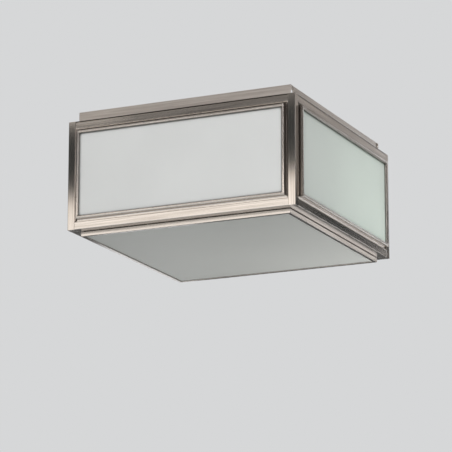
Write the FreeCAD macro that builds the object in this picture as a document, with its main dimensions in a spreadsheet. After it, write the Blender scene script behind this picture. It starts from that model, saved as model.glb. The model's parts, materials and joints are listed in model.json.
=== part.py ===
import FreeCAD, Part

import math
import os

import Sketcher
from FreeCAD import Placement, Rotation, Vector

# Square flush-mount ceiling light.
# Millimetres, +Z up. The origin is the middle of the ceiling plane, so the whole light is below it.
# The front faces -Y. Sides are counted front, right, back, left, a quarter turn each.

# Driving dimensions: name, millimetres, what it is.
SIZES = [
    # Case of angle bars
    ("case_side", 304.8, "outside width of the square case"),
    ("case_height", 138.0, "height of the case without collar and door"),
    ("leg", 9.5, "leg of the angle bars that shows on the faces"),
    ("leg_wall", 1.6, "thickness of the angle bars"),
    ("shelf", 17.5, "flat leg of the rails, pointing into the case"),
    ("edge_break", 0.4, "chamfer on the long outer edges"),
    ("joint_break", 0.25, "chamfer where a post meets a rail"),
    # Collar of open-ended channels, against the ceiling
    ("collar_height", 14.0, "channel height"),
    ("collar_depth", 7.0, "channel depth"),
    ("collar_wall", 1.2, "channel thickness"),
    ("collar_inset", 9.5, "from the case's face to the collar's face"),
    ("collar_gap", 1.0, "open joint between two collar channels"),
    # Mitred glazing bars
    ("flange_lap", 3.5, "how far the glazing flange laps behind the frame leg"),
    ("flange_wall", 1.0, "thickness of the glazing flange"),
    ("bead_inset", 12.6, "from the case's edge to the bead"),
    ("bead_width", 4.0, "width of the bead"),
    ("bead_proud", 4.5, "how far the bead stands in front of the case's face"),
    ("bead_wall", 0.8, "thickness of the folded bead"),
    ("bead_break", 1.0, "chamfer on the bead's front edges"),
    # Side panes and their tabs
    ("pane_thick", 4.0, "thickness of the side panes"),
    ("pane_clear", 0.3, "clearance between a side pane's edge and the bead's outer wall"),
    ("tab_width", 14.0, "width of a pane tab"),
    ("tab_wall", 0.8, "thickness of a pane tab"),
    ("tab_foot", 8.0, "foot of a pane tab"),
    ("tab_rise", 14.8, "leg of a pane tab"),
    ("tab_beside", 20.0, "from a plate screw to the tab beside it"),
    # Top plate
    ("plate_wall", 1.0, "thickness of the top plate"),
    ("plate_margin", 4.0, "from the case's face to the plate's edge"),
    ("plate_screw_end", 57.4, "from the case's face to the nearest plate screw round the corner"),
    ("screw_r", 1.5, "small screw, shank radius"),
    ("screw_head_r", 2.8, "small screw, head radius"),
    ("screw_head_h", 1.9, "small screw, head height"),
    ("screw_head_slope", 0.6, "small screw, chamfer on the head"),
    ("screw_reach", 6.0, "small screw, shank length"),
    ("screw_clear", 0.15, "radial clearance of a screw in its hole"),
    # Ceiling strap, studs and cap nuts
    ("strap_end", 10.0, "from a stud to the strap's end"),
    ("strap_width", 18.0, "width of the ceiling strap"),
    ("strap_wall", 2.0, "thickness of the ceiling strap"),
    ("strap_corner", 2.0, "corner cut of the ceiling strap"),
    ("slot_spacing", 88.9, "between the middles of the two strap slots"),
    ("slot_length", 14.0, "strap slot, end to end"),
    ("slot_r", 2.3, "half the width of a strap slot"),
    ("stud_beside", 8.55, "from a slot's end to the stud beside it"),
    ("stud_r", 2.5, "stud radius"),
    ("stud_gap", 1.1, "from the stud's tip to the bottom of the cap nut's bore"),
    ("stud_neck_r", 2.4, "stud radius in the strap"),
    ("stud_shoulder_r", 4.2, "stud shoulder radius"),
    ("stud_shoulder", 1.5, "stud shoulder height"),
    ("stud_clear", 0.1, "radial clearance on a stud"),
    ("washer_r", 7.0, "stud washer radius"),
    ("washer_wall", 1.0, "stud washer thickness"),
    ("nut_r", 6.0, "cap nut radius"),
    ("nut_depth", 10.5, "depth of the cap nut's bore"),
    ("nut_end", 2.5, "metal below the cap nut's bore"),
    ("nut_round", 2.5, "slope at the cap nut's end"),
    # Electrics on the top plate
    ("block_length", 36.0, "terminal block along Y"),
    ("block_width", 18.0, "terminal block along X"),
    ("block_clear", 1.6, "clearance between terminal block and strap"),
    ("pole_pitch", 11.0, "between two poles of the terminal block"),
    ("well_r", 2.6, "screw well radius"),
    ("well_depth", 2.8, "screw well depth"),
    ("entry_r", 1.5, "wire entry radius"),
    ("entry_cover", 0.2, "plastic between a screw well and a wire entry"),
    ("clamp_screw_r", 2.3, "terminal clamp screw radius"),
    ("clamp_screw_h", 2.0, "terminal clamp screw height"),
    ("grommet_r", 7.0, "grommet outer radius"),
    ("grommet_neck_r", 5.0, "grommet radius inside the plate's hole"),
    ("grommet_bore_r", 2.4, "grommet bore radius"),
    ("grommet_height", 4.0, "grommet height"),
    ("grommet_clear", 0.1, "clearance between grommet and plate"),
    ("lead_r", 1.75, "lamp lead radius"),
    ("lead_bend", 6.0, "lamp lead bend radius"),
    ("lead_reach", 36.0, "from the middle to where a lamp lead goes down"),
    ("earth_lead_r", 1.2, "earth lead radius"),
    ("earth_lead_bend", 6.0, "earth lead bend radius"),
    ("earth_reach", 24.0, "from the middle to the earth screw, along X"),
    ("earth_offset", 50.0, "from the middle to the earth screw, along Y"),
    ("earth_r", 2.0, "earth screw shank radius"),
    ("earth_head_r", 3.8, "earth screw head radius"),
    ("earth_head_h", 2.6, "earth screw head height"),
    ("earth_ring_r", 4.5, "earth ring terminal radius"),
    ("earth_ring_wall", 1.0, "earth ring terminal thickness"),
    ("earth_nut_r", 3.9, "earth nut radius across corners"),
    ("earth_nut_h", 3.2, "earth nut height"),
    ("earth_tip", 1.0, "earth screw length past its nut"),
    # Lampholders and lamps
    ("bracket_start", 7.0, "from the middle to a lampholder bracket's foot"),
    ("bracket_face", 20.0, "from the middle to a lampholder bracket's face"),
    ("bracket_margin", 1.0, "how far a bracket is wider than the lampholder's flange, each side"),
    ("bracket_wall", 1.5, "thickness of a lampholder bracket"),
    ("bracket_tail", 27.0, "bracket leg below the lamp's axis"),
    ("bracket_screw_spacing", 30.0, "between the two screws of a bracket's foot"),
    ("lamp_drop", 44.0, "from the top plate to the lamp's axis"),
    ("holder_bore_r", 13.9, "lampholder bore radius"),
    ("holder_wall", 3.6, "lampholder wall round the bore"),
    ("holder_flange_reach", 6.5, "how far the lampholder's flange stands out"),
    ("holder_flange", 5.0, "lampholder flange thickness"),
    ("holder_length", 33.0, "lampholder length"),
    ("holder_floor", 7.0, "lampholder floor thickness"),
    ("holder_break", 1.2, "chamfer on the lampholder"),
    ("holder_rim", 3.5, "from the flange's edge to the lampholder's screws"),
    ("shell_clear", 0.1, "clearance between screw shell and lampholder"),
    ("shell_wall", 0.4, "screw shell thickness"),
    ("shell_recess", 2.0, "from the lampholder's mouth to its screw shell"),
    ("contact_r", 4.5, "centre contact radius"),
    ("contact_height", 2.0, "centre contact height"),
    ("cap_clear", 0.3, "clearance between lamp cap and screw shell"),
    ("lamp_rise", 2.0, "from the lampholder's mouth to the lamp bulb"),
    ("cap_cone", 5.0, "length of the lamp cap's insulating cone"),
    ("cap_cone_r", 8.0, "end radius of the insulating cone"),
    ("cap_tip_r", 4.0, "lamp cap contact radius"),
    ("cap_tip", 2.0, "lamp cap contact height"),
    ("cap_wall", 0.6, "lamp cap thickness"),
    ("bulb_clear", 14.8, "from the end of a lamp bulb to the side pane"),
    ("bulb_neck", 5.5, "straight neck of a lamp bulb"),
    ("bulb_swell_share", 0.227, "how fast a lamp bulb widens past its neck, as a share of its length"),
    ("bulb_wall", 0.8, "lamp bulb thickness"),
    # Door at the bottom
    ("door_inset", 12.5, "from the case's face to the door's face"),
    ("door_drop", 6.2, "from the case's underside to the door's underside"),
    ("door_gap", 0.5, "running gap between case and door"),
    ("door_bar_width", 4.2, "width of the door's bars, seen from below"),
    ("door_wall", 1.2, "thickness of the door's bars"),
    ("door_pane_thick", 3.0, "thickness of the door's pane"),
    ("door_pane_clear", 0.3, "clearance between the door's bar and its pane"),
    # Hinges
    ("hinge_end", 67.4, "from the case's face to the nearest hinge's middle"),
    ("hinge_length", 30.0, "length of a hinge"),
    ("hinge_middle", 13.6, "length of the door's knuckle"),
    ("hinge_end_gap", 0.3, "gap between knuckles"),
    ("knuckle_r", 2.2, "knuckle radius"),
    ("hinge_clear", 0.3, "clearance round a knuckle"),
    ("pin_r", 1.0, "hinge pin radius"),
    ("pin_clear", 0.08, "running clearance of the pin"),
    ("pin_head_r", 1.6, "hinge pin head radius"),
    ("pin_head", 0.6, "hinge pin head thickness"),
    ("hinge_wall", 0.8, "thickness of the hinge leaves"),
    ("hinge_stop", 4.55, "from the hinge line to the lip that stops the open door"),
    ("hinge_lip", 4.0, "depth of that lip below the case"),
    ("leaf_margin", 0.5, "from the door bar's edges to the door's hinge leaf"),
    # Catches
    ("catch_end", 42.4, "from the case's face to the nearest catch's middle"),
    ("catch_width", 16.0, "width of a catch bracket and a strike plate"),
    ("catch_wall", 0.8, "thickness of a catch bracket and a strike plate"),
    ("catch_clear", 5.9, "from a side pane to a catch bracket's foot"),
    ("catch_rise", 10.0, "leg of a catch bracket"),
    ("magnet_width", 14.0, "magnet along the door's edge"),
    ("magnet_depth", 8.0, "magnet across the door's edge"),
    ("magnet_height", 10.0, "magnet height"),
    ("magnet_gap", 0.3, "air gap between magnet and strike plate"),
    # Making
    ("overrun", 2.0, "how far a cut runs past the metal"),
]

document = FreeCAD.newDocument("CeilingLight")
sheet = document.addObject("Spreadsheet::Sheet", "Sizes")
for row, (name, millimetres, meaning) in enumerate(SIZES, start=1):
    sheet.set(f"A{row}", name)
    sheet.set(f"B{row}", str(millimetres))
    sheet.set(f"C{row}", meaning)
    sheet.setAlias(f"B{row}", name)
document.recompute()


class Length:
    """A length in millimetres that remembers the sheet expression it comes from."""

    def __init__(self, text, value):
        self.text = text
        self.value = value

    def __add__(self, other):
        return Length(f"({self.text} + {other.text})", self.value + other.value)

    def __sub__(self, other):
        return Length(f"({self.text} - {other.text})", self.value - other.value)

    def __neg__(self):
        return Length(f"(-{self.text})", -self.value)

    def __mul__(self, other):
        text, value = text_and_value(other)
        return Length(f"({self.text} * {text})", self.value * value)

    def __truediv__(self, other):
        text, value = text_and_value(other)
        return Length(f"({self.text} / {text})", self.value / value)


def text_and_value(other):
    """Text and value of a length, or of a plain number."""
    if isinstance(other, Length):
        return other.text, other.value
    return str(other), other


class Sizes:
    """The sheet's sizes by name."""


size = Sizes()
for name, millimetres, meaning in SIZES:
    setattr(size, name, Length(f"Sizes.{name}", float(sheet.get(name))))

# Levels and lines that several pieces share
ZERO = Length("0", 0.0)
half = size.case_side / 2
case_top = -size.collar_height
case_bottom = case_top - size.case_height
case_middle = (case_top + case_bottom) / 2
shelf_below = case_top - size.leg_wall
plate_below = shelf_below - size.plate_wall
floor_above = case_bottom + size.leg_wall
pane_back = size.leg_wall + size.flange_wall
pane_front = pane_back - size.pane_thick
pane_edge = size.bead_inset + size.bead_wall + size.pane_clear
plate_screw_reach = half - size.plate_screw_end
tab_reach = plate_screw_reach - size.tab_beside
stud_reach = size.slot_spacing / 2 + size.slot_length / 2 + size.stud_beside
lamp_level = plate_below - size.lamp_drop
foot_middle = (size.bracket_start + size.bracket_face - size.bracket_wall) / 2
block_height = size.collar_height + size.leg_wall - size.strap_wall - size.block_clear
entry_rise = block_height - size.well_depth - size.entry_r - size.entry_cover
lead_level = shelf_below + entry_rise
holder_r = size.holder_bore_r + size.holder_wall
holder_flange_r = holder_r + size.holder_flange_reach
holder_screw_reach = holder_flange_r - size.holder_rim
cap_r = size.holder_bore_r - size.shell_clear - size.shell_wall - size.cap_clear
lamp_start = size.bracket_face + size.holder_floor + size.contact_height
bulb_start = size.bracket_face + size.holder_length + size.lamp_rise
cap_length = bulb_start - lamp_start
bulb_length = half - pane_back - size.bulb_clear - bulb_start
bulb_r = cap_r + (bulb_length - size.bulb_neck) * size.bulb_swell_share
door_bottom = case_bottom - size.door_drop
door_height = size.door_drop - size.door_gap
door_side = size.case_side - size.door_inset * 2
door_pane_above = door_bottom + size.door_wall + size.door_pane_thick
hinge_level = case_bottom - size.hinge_clear - size.knuckle_r
hinge_line = half - size.door_inset + size.knuckle_r + size.hinge_clear

FRONT, RIGHT, BACK, LEFT = range(4)
SIDES = ("front", "right", "back", "left")
COSINE = (1, 0, -1, 0)
SINE = (0, 1, 0, -1)
UPRIGHT = Rotation()
UPSIDE_DOWN = Rotation(Vector(0, 1, 0), 180)
TURNED_LEFT = Rotation(Vector(0, 1, 0), 90)
TURNED_RIGHT = Rotation(Vector(0, 1, 0), -90)


# Sketches and features

def origin_plane(body, role):
    """One of the body's own origin planes."""
    for feature in body.Origin.OriginFeatures:
        if feature.Role == role:
            return feature
    raise ValueError(role)


def new_sketch(body, role, lift=ZERO):
    """Empty sketch on a body's plane, lifted along the plane's normal."""
    sketch = body.newObject("Sketcher::SketchObject", body.Name + "Sketch")
    sketch.AttachmentSupport = (origin_plane(body, role), [""])
    sketch.MapMode = "FlatFace"
    sketch.AttachmentOffset = Placement(Vector(0, 0, lift.value), UPRIGHT)
    sketch.setExpression("AttachmentOffset.Base.z", lift.text)
    return sketch


def tie(sketch, geometry, end, place):
    """Ties a point of the sketch to its two coordinates."""
    for kind, length in zip(("DistanceX", "DistanceY"), place):
        index = sketch.addConstraint(Sketcher.Constraint(kind, -1, 1, geometry, end, length.value))
        sketch.setExpression(f"Constraints[{index}]", length.text)


def tie_radius(sketch, geometry, radius):
    index = sketch.addConstraint(Sketcher.Constraint("Radius", geometry, radius.value))
    sketch.setExpression(f"Constraints[{index}]", radius.text)


def point(place):
    return Vector(place[0].value, place[1].value, 0)


def add_outline(sketch, corners):
    """Adds a closed outline of straight lines, each corner tied to its coordinates."""
    first = sketch.GeometryCount
    count = len(corners)
    for index in range(count):
        start = point(corners[index])
        end = point(corners[(index + 1) % count])
        sketch.addGeometry(Part.LineSegment(start, end))
    for index in range(count):
        following = first + (index + 1) % count
        sketch.addConstraint(Sketcher.Constraint("Coincident", first + index, 2, following, 1))
        tie(sketch, first + index, 1, corners[index])


def outline(body, role, corners, lift=ZERO):
    """Sketch with one closed outline of straight lines."""
    sketch = new_sketch(body, role, lift)
    add_outline(sketch, corners)
    return sketch


def circles(body, role, middles, radius, lift=ZERO):
    """Sketch with a circle at each of the middles."""
    sketch = new_sketch(body, role, lift)
    for middle in middles:
        index = sketch.addGeometry(Part.Circle(point(middle), Vector(0, 0, 1), radius.value))
        tie(sketch, index, 3, middle)
        tie_radius(sketch, index, radius)
    return sketch


def rectangle(left, bottom, right, top):
    """Corners of an upright rectangle."""
    return [(left, bottom), (right, bottom), (right, top), (left, top)]


def pad(body, sketch, length, both=False, back=False):
    """Pad along the sketch's normal, against it, or half to each side."""
    feature = body.newObject("PartDesign::Pad", body.Name + "Pad")
    feature.Profile = sketch
    feature.SideType = "Symmetric" if both else "One side"
    feature.Reversed = back
    feature.Length = length.value
    feature.setExpression("Length", length.text)
    return feature


def pocket(body, sketch, depth=None):
    """Pocket half to each side of the sketch's plane, or through everything."""
    feature = body.newObject("PartDesign::Pocket", body.Name + "Pocket")
    feature.Profile = sketch
    feature.SideType = "Symmetric"
    if depth is None:
        feature.Type = "ThroughAll"
    else:
        feature.Length = depth.value
        feature.setExpression("Length", depth.text)
    return feature


def new_body(label):
    body = document.addObject("PartDesign::Body", "Body")
    body.Label = label
    return body


def turned(label, corners):
    """Piece turned about Z from half of its section, given as radius and height."""
    body = new_body(label)
    revolve(body, outline(body, "XZ_Plane", corners))
    return body


def revolve(body, sketch):
    feature = body.newObject("PartDesign::Revolution", body.Name + "Revolution")
    feature.Profile = sketch
    feature.ReferenceAxis = (sketch, ["V_Axis"])
    feature.Angle = 360
    return feature


def extruded(label, role, corners, length, both=True, back=False):
    """Piece with one straight section."""
    body = new_body(label)
    pad(body, outline(body, role, corners), length, both, back)
    return body


def bind_place(thing, x, y, z, turn):
    """Gives a piece its place, tied to the sheet, and its turn."""
    thing.Placement = Placement(Vector(x.value, y.value, z.value), turn)
    thing.setExpression("Placement.Base.x", x.text)
    thing.setExpression("Placement.Base.y", y.text)
    thing.setExpression("Placement.Base.z", z.text)
    return thing


def place(thing, x=ZERO, y=ZERO, z=ZERO, turn=UPRIGHT, side=FRONT):
    """Places a piece as seen at the front, then carries it round to its side."""
    round_x = x * COSINE[side] - y * SINE[side]
    round_y = x * SINE[side] + y * COSINE[side]
    quarter = Rotation(Vector(0, 0, 1), 90 * side)
    return bind_place(thing, round_x, round_y, z, quarter.multiply(turn))


nodes = []


def node(thing, label=None):
    """Marks a finished piece for writing."""
    if label:
        thing.Label = label
    nodes.append(thing)
    return thing


def group(label, pieces, side=FRONT):
    """Separate solids that share one node."""
    compound = document.addObject("Part::Compound", "Group")
    compound.Label = label
    compound.Links = pieces
    compound.Placement = Placement(Vector(), Rotation(Vector(0, 0, 1), 90 * side))
    return node(compound)


# Case: four posts run the full height, and the rails butt between them.

def corner_post(side, label):
    leg = size.leg
    wall = size.leg_wall
    edge = size.edge_break
    joint = size.joint_break
    section = [
        (edge, ZERO), (leg - joint, ZERO), (leg, joint), (leg, wall), (wall, wall),
        (wall, leg), (joint, leg), (ZERO, leg - joint), (ZERO, edge),
    ]
    post = extruded(label, "XY_Plane", section, size.case_height, both=False)
    return node(place(post, -half, -half, case_bottom, side=side))


def rail(label, side, top):
    """Angle bar with a flat leg mitred at its ends and coped round the posts."""
    body = new_body(label)
    reach = half - size.leg
    inner = half - size.leg_wall
    tip = half - size.shelf
    shelf_outline = [
        (-reach, ZERO), (reach, ZERO), (reach, size.leg_wall), (inner, size.leg_wall),
        (tip, size.shelf), (-tip, size.shelf), (-inner, size.leg_wall), (-reach, size.leg_wall),
    ]
    pad(body, outline(body, "XY_Plane", shelf_outline), size.leg_wall)
    face = outline(body, "XZ_Plane", rectangle(-reach, ZERO, reach, size.leg))
    pad(body, face, size.leg_wall, back=True)
    if top:
        holes = plate_screw_places(size.collar_inset + size.collar_depth / 2)
        pocket(body, circles(body, "XY_Plane", holes, size.screw_r + size.screw_clear))
    document.recompute()
    solid = body.Tip
    chamfer = body.newObject("PartDesign::Chamfer", body.Name + "Chamfer")
    chamfer.Base = (solid, long_front_edges(solid.Shape))
    chamfer.Size = size.edge_break.value
    chamfer.setExpression("Size", size.edge_break.text)
    if top:
        place(body, ZERO, -half, case_top, UPSIDE_DOWN, side)
    else:
        place(body, ZERO, -half, case_bottom, UPRIGHT, side)
    return node(body)


def long_front_edges(shape):
    """Names of the edges that run along X in the front plane."""
    small = size.joint_break.value
    found = []
    for index, edge in enumerate(shape.Edges, start=1):
        box = edge.BoundBox
        if box.XLength > size.case_side.value / 2 and abs(box.YMin) + abs(box.YMax) < small:
            found.append(f"Edge{index}")
    return found


def plate_screw_places(inset):
    """The two plate screws on one side, as seen on that side's rail."""
    return [(-plate_screw_reach, inset), (plate_screw_reach, inset)]


def case_frame():
    corners = ("front_left", "front_right", "back_right", "back_left")
    for side, name in enumerate(corners):
        corner_post(side, f"corner_post_{name}")
    for side, name in enumerate(SIDES):
        rail(f"top_rail_{name}", side, top=True)
        rail(f"bottom_rail_{name}", side, top=False)


# Collar: open-ended channels, the front and back ones running through.

def collar_bar(side, label):
    body = new_body(label)
    depth = size.collar_depth
    wall = size.collar_wall
    height = size.collar_height
    edge = size.edge_break
    section = [
        (edge, ZERO), (depth, ZERO), (depth, wall), (wall, wall), (wall, height - wall),
        (depth, height - wall), (depth, height), (edge, height), (ZERO, height - edge), (ZERO, edge),
    ]
    length = size.case_side - size.collar_inset * 2
    if side in (RIGHT, LEFT):
        length = length - (size.collar_depth + size.collar_gap) * 2
    pad(body, outline(body, "YZ_Plane", section), length, both=True)
    holes = plate_screw_places(depth / 2)
    screw_holes = circles(body, "XY_Plane", holes, size.screw_r + size.screw_clear)
    pocket(body, screw_holes, wall * 2)
    return node(place(body, ZERO, size.collar_inset - half, case_top, side=side))


def collar():
    for side, name in enumerate(SIDES):
        collar_bar(side, f"collar_bar_{name}")


# Glazing frames: folded bars with mitred ends, a flange behind the frame's legs and a bead
# that stands proud. The same mitre serves the door's bars.

def cut_mitres(body, role, span, start, end):
    """Cuts both ends of a bar at 45 degrees. Start and end are distances in from its outer edge."""
    over = size.overrun
    for hand in (-1, 1):
        outer = (span / 2 - start + over) * hand
        inner = (span / 2 - end - over) * hand
        triangle = [(outer, start - over), (inner, end + over), (outer, end + over)]
        pocket(body, outline(body, role, triangle))


def glazing_bar(label, span):
    """Bar along X; its section runs inward along Z from the case's edge, and back along Y."""
    start = size.leg - size.flange_lap
    back = pane_back
    face = size.leg_wall
    front = -size.bead_proud
    outer = size.bead_inset
    inner = size.bead_inset + size.bead_width
    edge = size.bead_break
    wall = size.bead_wall
    section = [
        (face, start), (face, outer), (front + edge, outer), (front, outer + edge),
        (front, inner - edge), (front + edge, inner), (pane_front, inner), (pane_front, inner - wall),
        (front + wall, inner - wall), (front + wall, outer + wall), (back, outer + wall), (back, start),
    ]
    bar = extruded(label, "YZ_Plane", section, span - start * 2)
    cut_mitres(bar, "XZ_Plane", span, start, inner)
    return bar


def glazing_frames():
    bars = [
        place(glazing_bar("glazing_bar_bottom", size.case_side), ZERO, -half, case_bottom),
        place(glazing_bar("glazing_bar_top", size.case_side), ZERO, -half, case_top, UPSIDE_DOWN),
        place(glazing_bar("glazing_bar_left", size.case_height), -half, -half, case_middle, TURNED_LEFT),
        place(glazing_bar("glazing_bar_right", size.case_height), half, -half, case_middle, TURNED_RIGHT),
    ]
    for side, name in enumerate(SIDES):
        group(f"glazing_frame_{name}", bars, side)


# Panes

def box(label, length, width, height):
    """Plain block with a corner at its own origin."""
    block = document.addObject("Part::Box", "Box")
    block.Label = label
    for name, amount in (("Length", length), ("Width", width), ("Height", height)):
        setattr(block, name, amount.value)
        block.setExpression(name, amount.text)
    return block


def side_panes():
    """Each pane lies in the fold of its glazing frame, against the bead's inner lip."""
    width = size.case_side - pane_edge * 2
    height = size.case_height - pane_edge * 2
    for side, name in enumerate(SIDES):
        pane = box(f"side_pane_{name}", width, size.pane_thick, height)
        node(place(pane, pane_edge - half, pane_front - half, case_bottom + pane_edge, side=side))


def pane_tab():
    foot = size.tab_foot
    wall = size.tab_wall
    rise = size.tab_rise
    section = [(ZERO, ZERO), (foot, ZERO), (foot, wall), (wall, wall), (wall, rise), (ZERO, rise)]
    return extruded("pane_tab", "YZ_Plane", section, size.tab_width)


def side_pane_tabs():
    """Bent tabs behind the side panes: two on each bottom rail, two under the top plate."""
    line = pane_back - half
    lower = []
    upper = []
    for side in range(len(SIDES)):
        for x in (-tab_reach, tab_reach):
            lower.append(place(pane_tab(), x, line, floor_above, side=side))
            upper.append(place(pane_tab(), x, line, plate_below, UPSIDE_DOWN, side))
    group("pane_tabs_bottom", lower)
    group("pane_tabs_top", upper)


# Top plate, with the ceiling strap above it

def top_plate():
    body = new_body("top_plate")
    edge = half - size.plate_margin
    pad(body, outline(body, "XY_Plane", rectangle(-edge, -edge, edge, edge)), size.plate_wall)
    line = half - size.collar_inset - size.collar_depth / 2
    screw_places = []
    for along in (-plate_screw_reach, plate_screw_reach):
        for across in (-line, line):
            screw_places += [(along, across), (across, along)]
    spread = size.bracket_screw_spacing / 2
    for x in (-foot_middle, foot_middle):
        screw_places += [(x, -spread), (x, spread)]
    pocket(body, circles(body, "XY_Plane", screw_places, size.screw_r + size.screw_clear))
    stud_places = [(ZERO, -stud_reach), (ZERO, stud_reach)]
    pocket(body, circles(body, "XY_Plane", stud_places, size.stud_r + size.stud_clear))
    lead = size.lead_reach
    grommet_hole = size.grommet_neck_r + size.grommet_clear
    pocket(body, circles(body, "XY_Plane", [(-lead, ZERO), (lead, ZERO)], grommet_hole))
    earth = [(size.earth_reach, -size.earth_offset)]
    pocket(body, circles(body, "XY_Plane", earth, size.earth_r + size.screw_clear))
    return node(place(body, z=plate_below))


def small_screw():
    """Pan-head screw, pointing up, its head below the origin."""
    edge = size.screw_head_slope
    return turned("small_screw", [
        (ZERO, -size.screw_head_h), (size.screw_head_r - edge, -size.screw_head_h),
        (size.screw_head_r, edge - size.screw_head_h), (size.screw_head_r, ZERO),
        (size.screw_r, ZERO), (size.screw_r, size.screw_reach), (ZERO, size.screw_reach),
    ])


def plate_screws():
    line = size.collar_inset + size.collar_depth / 2 - half
    screws = []
    for side in range(len(SIDES)):
        for x in (-plate_screw_reach, plate_screw_reach):
            screws.append(place(small_screw(), x, line, plate_below, side=side))
    group("top_plate_screws", screws)


def ceiling_strap():
    body = new_body("ceiling_strap")
    length = stud_reach + size.strap_end
    width = size.strap_width / 2
    corner = size.strap_corner
    plan = [
        (corner - width, -length), (width - corner, -length), (width, corner - length),
        (width, length - corner), (width - corner, length), (corner - width, length),
        (-width, length - corner), (-width, corner - length),
    ]
    pad(body, outline(body, "XY_Plane", plan), size.strap_wall, back=True)
    reach = size.slot_length / 2 - size.slot_r
    for hand in (-1, 1):
        middle = size.slot_spacing / 2 * hand
        straight = rectangle(-size.slot_r, middle - reach, size.slot_r, middle + reach)
        pocket(body, outline(body, "XY_Plane", straight))
        ends = [(ZERO, middle - reach), (ZERO, middle + reach)]
        pocket(body, circles(body, "XY_Plane", ends, size.slot_r))
    neck_hole = size.stud_neck_r + size.stud_clear
    pocket(body, circles(body, "XY_Plane", [(ZERO, -stud_reach), (ZERO, stud_reach)], neck_hole))
    return node(body)


def stud():
    """Threaded stud held in the strap by its shoulder, pointing down."""
    under = -size.strap_wall
    shoulder = under - size.stud_shoulder
    end = plate_below - size.washer_wall - size.nut_depth + size.stud_gap
    tip = size.edge_break
    return turned("stud", [
        (ZERO, end), (size.stud_r - tip, end), (size.stud_r, end + tip), (size.stud_r, shoulder),
        (size.stud_shoulder_r, shoulder), (size.stud_shoulder_r, under),
        (size.stud_neck_r, under), (size.stud_neck_r, ZERO), (ZERO, ZERO),
    ])


def stud_washer():
    bore = size.stud_r + size.stud_clear
    return turned("washer", rectangle(bore, -size.washer_wall, size.washer_r, ZERO))


def cap_nut():
    bore = size.stud_r + size.stud_clear
    slope = size.nut_round
    radius = size.nut_r
    edge = size.edge_break
    height = size.nut_depth + size.nut_end
    return turned("cap_nut", [
        (ZERO, -height), (radius - slope, -height), (radius, slope - height),
        (radius, -edge), (radius - edge, ZERO), (bore, ZERO), (bore, -size.nut_depth),
        (ZERO, -size.nut_depth),
    ])


def ceiling_fixing():
    ceiling_strap()
    studs = []
    washers = []
    nuts = []
    for y in (-stud_reach, stud_reach):
        studs.append(place(stud(), y=y))
        washers.append(place(stud_washer(), y=y, z=plate_below))
        nuts.append(place(cap_nut(), y=y, z=plate_below - size.washer_wall))
    group("strap_studs", studs)
    group("stud_washers", washers)
    group("cap_nuts", nuts)


# Electrics on the top plate

def terminal_block():
    body = new_body("terminal_block")
    width = size.block_width / 2
    length = size.block_length / 2
    pad(body, outline(body, "XY_Plane", rectangle(-width, -length, width, length)), block_height)
    poles = [-size.pole_pitch, ZERO, size.pole_pitch]
    wells = circles(body, "XY_Plane", [(ZERO, y) for y in poles], size.well_r, block_height)
    pocket(body, wells, size.well_depth * 2)
    entries = circles(body, "YZ_Plane", [(y, entry_rise) for y in poles], size.entry_r)
    pocket(body, entries)
    node(place(body, z=shelf_below))
    screws = []
    for y in poles:
        screw = turned("clamp_screw", rectangle(ZERO, ZERO, size.clamp_screw_r, size.clamp_screw_h))
        level = shelf_below + block_height - size.well_depth
        screws.append(place(screw, y=y, z=level))
    group("terminal_screws", screws)


def grommets():
    """Rubber rings with a groove that takes the plate's edge."""
    high = size.grommet_height / 2
    groove = size.plate_wall / 2
    bore = size.grommet_bore_r
    rings = []
    for x in (-size.lead_reach, size.lead_reach):
        ring = turned("grommet", [
            (bore, -high), (size.grommet_r, -high), (size.grommet_r, -groove),
            (size.grommet_neck_r, -groove), (size.grommet_neck_r, groove),
            (size.grommet_r, groove), (size.grommet_r, high), (bore, high),
        ])
        rings.append(place(ring, x=x, z=plate_below + size.plate_wall / 2))
    group("cable_grommets", rings)


def wire(label, route, radius, bend):
    """Round wire along straight runs joined by tangent arcs."""
    points = [Vector(*(length.value for length in corner)) for corner in route]
    edges = []
    start = points[0]
    for before, corner, after in zip(points, points[1:], points[2:]):
        into = (corner - before).normalize()
        out = (after - corner).normalize()
        turn = into.getAngle(out)
        room = bend.value * math.tan(turn / 2)
        arc_start = corner - into * room
        arc_end = corner + out * room
        bulge = (out - into).normalize()
        centre = corner + bulge * (bend.value / math.cos(turn / 2))
        arc_middle = centre - bulge * bend.value
        edges.append(Part.LineSegment(start, arc_start).toShape())
        edges.append(Part.Arc(arc_start, arc_middle, arc_end).toShape())
        start = arc_end
    edges.append(Part.LineSegment(start, points[-1]).toShape())
    spine = Part.Wire(edges)
    section = Part.Wire(Part.Circle(points[0], points[1] - points[0], radius.value).toShape())
    solid = spine.makePipeShell([section], True, False)
    expected = math.pi * radius.value ** 2 * spine.Length
    print(f"{label}: {spine.Length:.1f} mm long, volume {solid.Volume / expected:.4f} of the swept section")
    thing = document.addObject("Part::Feature", "Wire")
    thing.Shape = solid
    thing.Label = label
    return thing


def leads():
    """Sleeved leads from the terminal block, through the grommets, into the lampholders."""
    holder_top = lamp_level + holder_r
    face = size.block_width / 2
    down = size.lead_reach
    pair = []
    for side in (FRONT, BACK):
        route = [(face, ZERO, lead_level), (down, ZERO, lead_level), (down, ZERO, holder_top)]
        lead = wire("lamp_lead", route, size.lead_r, size.lead_bend)
        lead.Placement = Placement(Vector(), Rotation(Vector(0, 0, 1), 90 * side))
        pair.append(lead)
    group("lamp_leads", pair)
    reach = size.earth_reach
    end = size.earth_ring_r - size.earth_offset
    ring_level = shelf_below + size.earth_ring_wall + size.earth_lead_r
    route = [
        (face, -size.pole_pitch, lead_level), (reach, -size.pole_pitch, lead_level),
        (reach, end / 2 - size.pole_pitch / 2, lead_level), (reach, end, ring_level),
    ]
    node(wire("earth_lead", route, size.earth_lead_r, size.earth_lead_bend))


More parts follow.
